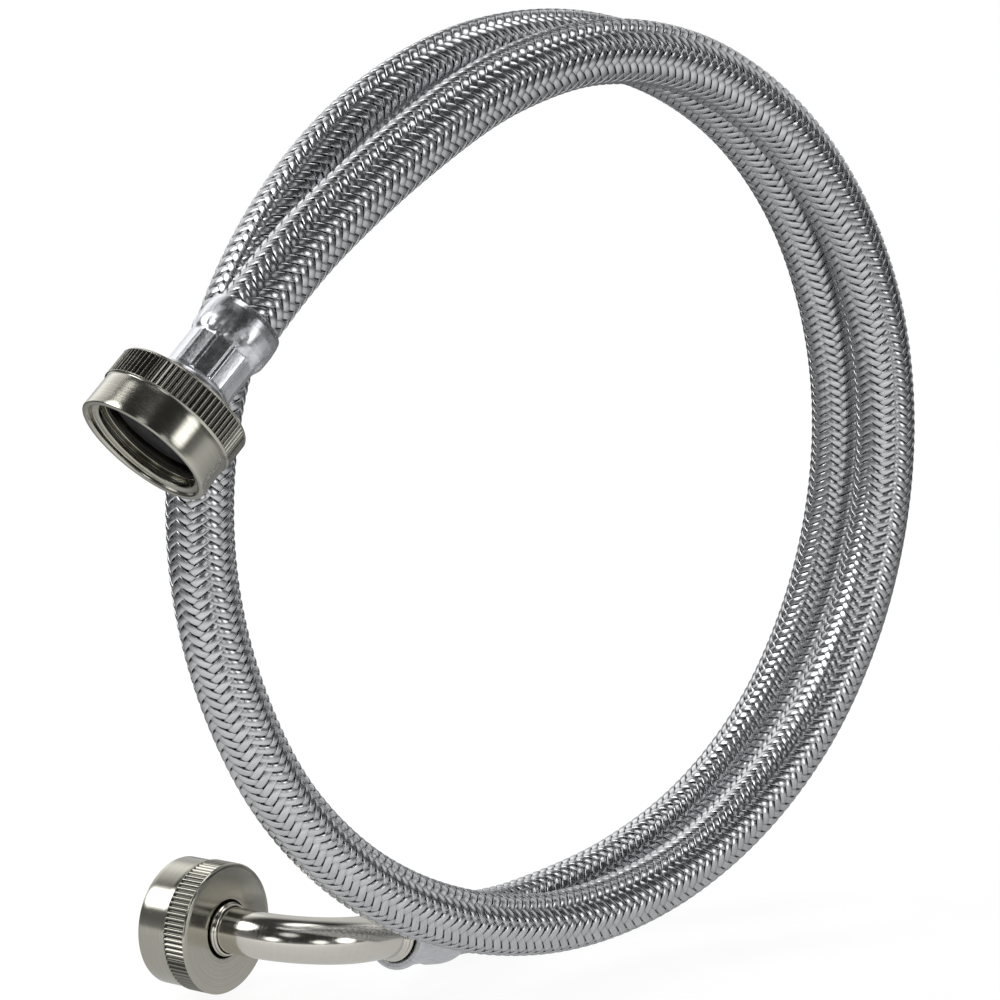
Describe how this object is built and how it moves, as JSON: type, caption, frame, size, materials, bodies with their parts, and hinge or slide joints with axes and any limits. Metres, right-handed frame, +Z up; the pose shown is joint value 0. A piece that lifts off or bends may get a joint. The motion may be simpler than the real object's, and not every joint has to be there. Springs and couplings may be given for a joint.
{
  "type": "braided supply line",
  "caption": "Flexible steel-braided water supply hose, coiled upright, with a knurled swivel hose nut on a straight end and another on a right-angle bent metal elbow.",
  "frame": {"origin": "on the floor, under the middle of the bounding box", "axes": "+Z up; the axis of the coil runs along Y, with the straight end on the -Y side and the elbow end on the +Y side; +X is to the right seen from the straight end"},
  "size_m": [0.2378, 0.0844, 0.2313],
  "materials": {
    "nut": "satin nickel plate over brass, knurled band",
    "ferrule": "bright stainless, crimped",
    "elbow": "polished nickel plate",
    "stem": "machined",
    "braid": "woven stainless wire",
    "inner_tube": "extruded, matt",
    "washer": "moulded, matt"
  },
  "bodies": {
    "straight_end": {"straight_stem": "stem", "straight_ferrule": "ferrule", "braid_jacket_1": "braid", "inner_tube_1": "inner_tube"},
    "straight_washer": {"straight_washer": "washer"},
    "straight_nut": {"straight_nut": "nut"},
    "hose_2": {"braid_jacket_2": "braid", "inner_tube_2": "inner_tube"},
    "hose_3": {"braid_jacket_3": "braid", "inner_tube_3": "inner_tube"},
    "hose_4": {"braid_jacket_4": "braid", "inner_tube_4": "inner_tube"},
    "hose_5": {"braid_jacket_5": "braid", "inner_tube_5": "inner_tube"},
    "hose_6": {"braid_jacket_6": "braid", "inner_tube_6": "inner_tube"},
    "hose_7": {"braid_jacket_7": "braid", "inner_tube_7": "inner_tube"},
    "hose_8": {"braid_jacket_8": "braid", "inner_tube_8": "inner_tube"},
    "hose_9": {"braid_jacket_9": "braid", "inner_tube_9": "inner_tube"},
    "hose_10": {"braid_jacket_10": "braid", "inner_tube_10": "inner_tube"},
    "hose_11": {"braid_jacket_11": "braid", "inner_tube_11": "inner_tube"},
    "hose_12": {"braid_jacket_12": "braid", "inner_tube_12": "inner_tube"},
    "hose_13": {"braid_jacket_13": "braid", "inner_tube_13": "inner_tube"},
    "hose_14": {"braid_jacket_14": "braid", "inner_tube_14": "inner_tube"},
    "hose_15": {"braid_jacket_15": "braid", "inner_tube_15": "inner_tube"},
    "hose_16": {"braid_jacket_16": "braid", "inner_tube_16": "inner_tube"},
    "hose_17": {"braid_jacket_17": "braid", "inner_tube_17": "inner_tube"},
    "hose_18": {"braid_jacket_18": "braid", "inner_tube_18": "inner_tube"},
    "hose_19": {"braid_jacket_19": "braid", "inner_tube_19": "inner_tube"},
    "elbow_end": {"elbow_tube": "elbow", "elbow_nipple": "elbow", "elbow_ferrule": "ferrule", "braid_jacket_20": "braid", "inner_tube_20": "inner_tube"},
    "elbow_washer": {"elbow_washer": "washer"},
    "elbow_nut": {"elbow_nut": "nut"}
  },
  "joints": [
    {"name": "straight_nut_slide", "type": "slide", "parent": "straight_end", "child": "straight_washer", "axis": [-0.7214, -0.0749, -0.6884], "range_m": [0, 0.0012]},
    {"name": "straight_nut_swivel", "type": "hinge", "parent": "straight_washer", "child": "straight_nut", "pos_m": [-0.10877, -0.02723, 0.14033], "axis": [0.7214, 0.0749, 0.6884], "continuous": true},
    {"name": "bend_1", "type": "hinge", "parent": "straight_end", "child": "hose_2", "pos_m": [-0.0632, -0.02284, 0.18353], "axis": [0.6051, 0, -0.7961], "range_deg": [0, 35]},
    {"name": "bend_2", "type": "hinge", "parent": "hose_2", "child": "hose_3", "pos_m": [-0.01452, -0.02008, 0.21403], "axis": [0, -1, 0], "range_deg": [0, 28.6]},
    {"name": "bend_3", "type": "hinge", "parent": "hose_3", "child": "hose_4", "pos_m": [0.04179, -0.01818, 0.21792], "axis": [0, -1, 0], "range_deg": [0, 42.4]},
    {"name": "bend_4", "type": "hinge", "parent": "hose_4", "child": "hose_5", "pos_m": [0.08769, -0.01636, 0.18466], "axis": [0, -1, 0], "range_deg": [0, 32.7]},
    {"name": "bend_5", "type": "hinge", "parent": "hose_5", "child": "hose_6", "pos_m": [0.10811, -0.01426, 0.13157], "axis": [0, -1, 0], "range_deg": [0, 28.1]},
    {"name": "bend_6", "type": "hinge", "parent": "hose_6", "child": "hose_7", "pos_m": [0.09991, -0.01199, 0.07511], "axis": [0, -1, 0], "range_deg": [0, 30]},
    {"name": "bend_7", "type": "hinge", "parent": "hose_7", "child": "hose_8", "pos_m": [0.06448, -0.01006, 0.03072], "axis": [-0.0705, -0.9962, -0.0512], "range_deg": [0, 34.9]},
    {"name": "bend_8", "type": "hinge", "parent": "hose_8", "child": "hose_9", "pos_m": [0.01018, -0.00858, 0.01435], "axis": [-0.1266, -0.9877, -0.0919], "range_deg": [0, 37.2]},
    {"name": "bend_9", "type": "hinge", "parent": "hose_9", "child": "hose_10", "pos_m": [-0.04337, -0.00726, 0.03319], "axis": [-0.0609, -0.9926, 0.1055], "range_deg": [0, 28]},
    {"name": "bend_10", "type": "hinge", "parent": "hose_10", "child": "hose_11", "pos_m": [-0.07637, -0.00574, 0.07941], "axis": [-0.0127, -0.9925, 0.1212], "range_deg": [0, 28.3]},
    {"name": "bend_11", "type": "hinge", "parent": "hose_11", "child": "hose_12", "pos_m": [-0.08218, -0.00376, 0.1361], "axis": [0.1429, -0.9877, 0.0636], "range_deg": [0, 30.4]},
    {"name": "bend_12", "type": "hinge", "parent": "hose_12", "child": "hose_13", "pos_m": [-0.0585, -0.00178, 0.1879], "axis": [0.1564, -0.9877, 0], "range_deg": [0, 30.7]},
    {"name": "bend_13", "type": "hinge", "parent": "hose_13", "child": "hose_14", "pos_m": [-0.01159, -0.0003, 0.21995], "axis": [0.1564, -0.9877, 0], "range_deg": [0, 36]},
    {"name": "bend_14", "type": "hinge", "parent": "hose_14", "child": "hose_15", "pos_m": [0.04511, 0.00097, 0.21868], "axis": [0, -1, 0], "range_deg": [0, 37.1]},
    {"name": "bend_15", "type": "hinge", "parent": "hose_15", "child": "hose_16", "pos_m": [0.09028, 0.00256, 0.18443], "axis": [0, -1, 0], "range_deg": [0, 32]},
    {"name": "bend_16", "type": "hinge", "parent": "hose_16", "child": "hose_17", "pos_m": [0.11061, 0.00543, 0.13113], "axis": [0, -1, 0], "range_deg": [0, 25.4]},
    {"name": "bend_17", "type": "hinge", "parent": "hose_17", "child": "hose_18", "pos_m": [0.10462, 0.0102, 0.07446], "axis": [0, -1, 0], "range_deg": [0, 29.4]},
    {"name": "bend_18", "type": "hinge", "parent": "hose_18", "child": "hose_19", "pos_m": [0.07173, 0.0152, 0.02842], "axis": [0, -1, 0], "range_deg": [0, 35.3]},
    {"name": "bend_19", "type": "hinge", "parent": "hose_19", "child": "elbow_end", "pos_m": [0.01868, 0.02047, 0.00801], "axis": [0.1799, 0, -0.9837], "range_deg": [0, 35]},
    {"name": "elbow_nut_slide", "type": "slide", "parent": "elbow_end", "child": "elbow_washer", "axis": [-0.3569, 0.9339, -0.022], "range_m": [0, 0.0012]},
    {"name": "elbow_nut_swivel", "type": "hinge", "parent": "elbow_washer", "child": "elbow_nut", "pos_m": [-0.06849, 0.03695, 0.01728], "axis": [0.3569, -0.9339, 0.022], "continuous": true}
  ]
}
